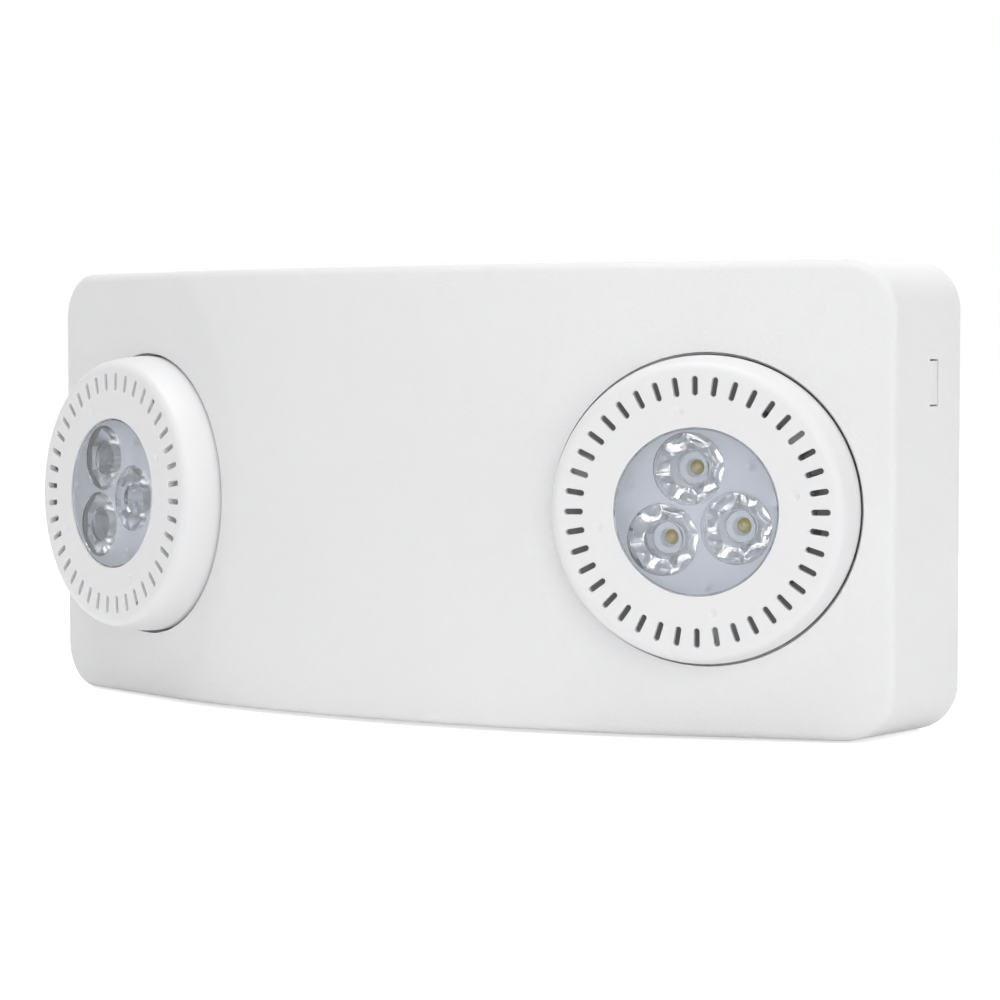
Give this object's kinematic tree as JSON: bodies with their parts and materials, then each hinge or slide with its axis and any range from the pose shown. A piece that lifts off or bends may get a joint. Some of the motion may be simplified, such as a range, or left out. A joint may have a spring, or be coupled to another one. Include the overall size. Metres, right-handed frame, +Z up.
{
  "type": "twin-head emergency light",
  "caption": "Wall-mounted emergency light with a crowned white cover and ball-shaped lamp heads that swivel and tilt in its angled end facets.",
  "frame": {"origin": "centre of the wire hole in the wall face, at mid-width and mid-height of the unit", "axes": "+X to the viewer's right, +Y into the wall, +Z up; the lamps face -Y"},
  "size_m": [0.296, 0.0826, 0.133],
  "materials": {
    "cover": "fine moulded texture, white",
    "base": "fine moulded texture, white",
    "head": "smooth, white",
    "window": "clear moulded, slightly blue",
    "inner_plastic": "plain moulded, pale grey",
    "lamp_board": "white lacquer on aluminium",
    "chips": "yellow phosphor",
    "sink": "plain",
    "screws": "zinc plated",
    "sleeve": "shrunk film",
    "steel_strip": "zinc plated",
    "circuit_board": "lacquered",
    "core": "varnished sheets",
    "winding": "taped",
    "cans": "sleeved",
    "terminal": "moulded",
    "sockets": "moulded",
    "switch": "moulded",
    "button": "smooth, pale grey",
    "light_pipe": "clear",
    "pilot": "tinted"
  },
  "bodies": {
    "housing": {"front_cover": "cover", "back_plate": "base", "battery_pack": "sleeve", "battery_strap": "steel_strip", "strap_screws": "screws", "control_board": "circuit_board", "control_board_screws": "screws", "transformer_core": "core", "transformer_coil": "winding", "capacitors": "cans", "terminal_block": "terminal", "lamp_sockets": "sockets", "test_switch": "switch", "status_lens": "light_pipe", "status_lamp": "pilot", "left_retainer": "inner_plastic", "left_retainer_screws": "screws", "right_retainer": "inner_plastic", "right_retainer_screws": "screws"},
    "test_button": {"test_button": "button", "test_plunger": "switch"},
    "left_ring": {"left_swivel_ring": "inner_plastic"},
    "left_head": {"left_lamp_shell": "head", "left_lamp_back": "head", "left_optic": "window", "left_lamp_board": "lamp_board", "left_lamp_chips": "chips", "left_heat_sink": "sink", "left_board_screws": "screws", "left_shell_screws": "screws", "left_track_screws": "screws"},
    "right_ring": {"right_swivel_ring": "inner_plastic"},
    "right_head": {"right_lamp_shell": "head", "right_lamp_back": "head", "right_optic": "window", "right_lamp_board": "lamp_board", "right_lamp_chips": "chips", "right_heat_sink": "sink", "right_board_screws": "screws", "right_shell_screws": "screws", "right_track_screws": "screws"}
  },
  "joints": [
    {"name": "left_swivel", "type": "hinge", "parent": "housing", "child": "left_ring", "pos_m": [-0.09897, -0.05812, -0.0026], "axis": [-0.3453, -0.9385, 0], "range_deg": [-90, 90]},
    {"name": "left_tilt", "type": "hinge", "parent": "left_ring", "child": "left_head", "pos_m": [-0.09897, -0.05812, -0.0026], "axis": [-0.3922, 0.1443, 0.9085], "range_deg": [-15.15, 8.85]},
    {"name": "right_swivel", "type": "hinge", "parent": "housing", "child": "right_ring", "pos_m": [0.09897, -0.05812, -0.0026], "axis": [0.3453, -0.9385, 0], "range_deg": [-90, 90]},
    {"name": "right_tilt", "type": "hinge", "parent": "right_ring", "child": "right_head", "pos_m": [0.09897, -0.05812, -0.0026], "axis": [-0.1549, -0.057, 0.9863], "range_deg": [-8.85, 15.15]},
    {"name": "test_button_press", "type": "slide", "parent": "housing", "child": "test_button", "axis": [0, 0, 1], "range_m": [0, 0.0006], "stiffness_N_per_m": 2500, "springref_m": -0.0001}
  ]
}
